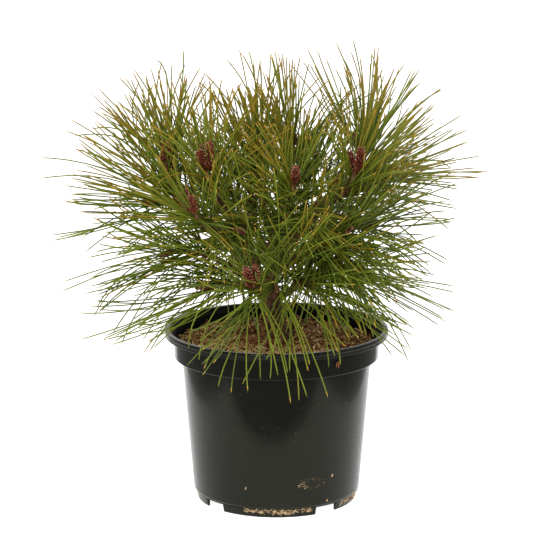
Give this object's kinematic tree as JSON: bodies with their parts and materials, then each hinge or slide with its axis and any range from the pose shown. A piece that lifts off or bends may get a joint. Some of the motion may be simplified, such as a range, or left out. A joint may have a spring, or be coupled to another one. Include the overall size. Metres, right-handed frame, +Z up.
{
  "type": "potted japanese red pine",
  "caption": "Young dwarf red pine in a round black nursery pot: a short trunk, boughs that fork low, and a broad dense crown of long paired needles.",
  "frame": {"origin": "on the pot's axis, on the flat underside that it stands on", "axes": "+Z up, -Y towards the pictured front, +X to the right seen from the front"},
  "size_m": [0.4314, 0.3765, 0.4647],
  "materials": {
    "pot_plastic": "black moulded plastic with a soft sheen, dusty and lightly scuffed",
    "potting_soil": "dry fibrous peat and bark with fallen needles and moss",
    "bark": "rough scaly brown bark",
    "needles": "green needles with golden tips, slightly waxy"
  },
  "bodies": {
    "root": {"bough_back_left": "bark", "bough_back_low": "bark", "bough_back_right": "bark", "bough_centre": "bark", "bough_front": "bark", "bough_left": "bark", "bough_left_out": "bark", "bough_low_left": "bark", "bough_low_right": "bark", "bough_right": "bark", "bough_right_low": "bark", "limb_back_left_mid": "bark", "limb_back_low_left": "bark", "limb_back_low_right": "bark", "limb_back_right_mid": "bark", "limb_front_mid": "bark", "limb_front_right": "bark", "limb_left_front": "bark", "limb_left_high": "bark", "limb_left_low": "bark", "limb_right_mid": "bark", "limb_right_out": "bark", "limb_right_top": "bark", "limb_top_left_mid": "bark", "needles_back_left_mid": "needles", "needles_back_left_out": "needles", "needles_back_low_left": "needles", "needles_back_low_mid": "needles", "needles_back_low_right": "needles", "needles_back_right_mid": "needles", "needles_back_right_out": "needles", "needles_front_low": "needles", "needles_front_mid": "needles", "needles_front_right": "needles", "needles_left_crown": "needles", "needles_left_front": "needles", "needles_left_high": "needles", "needles_left_low": "needles", "needles_left_low_out": "needles", "needles_left_out": "needles", "needles_right_crown": "needles", "needles_right_low": "needles", "needles_right_low_out": "needles", "needles_right_mid": "needles", "needles_right_out": "needles", "needles_right_top": "needles", "needles_top_left_mid": "needles", "needles_top_mid": "needles", "pot": "pot_plastic", "soil": "potting_soil", "trunk": "bark"}
  },
  "joints": []
}
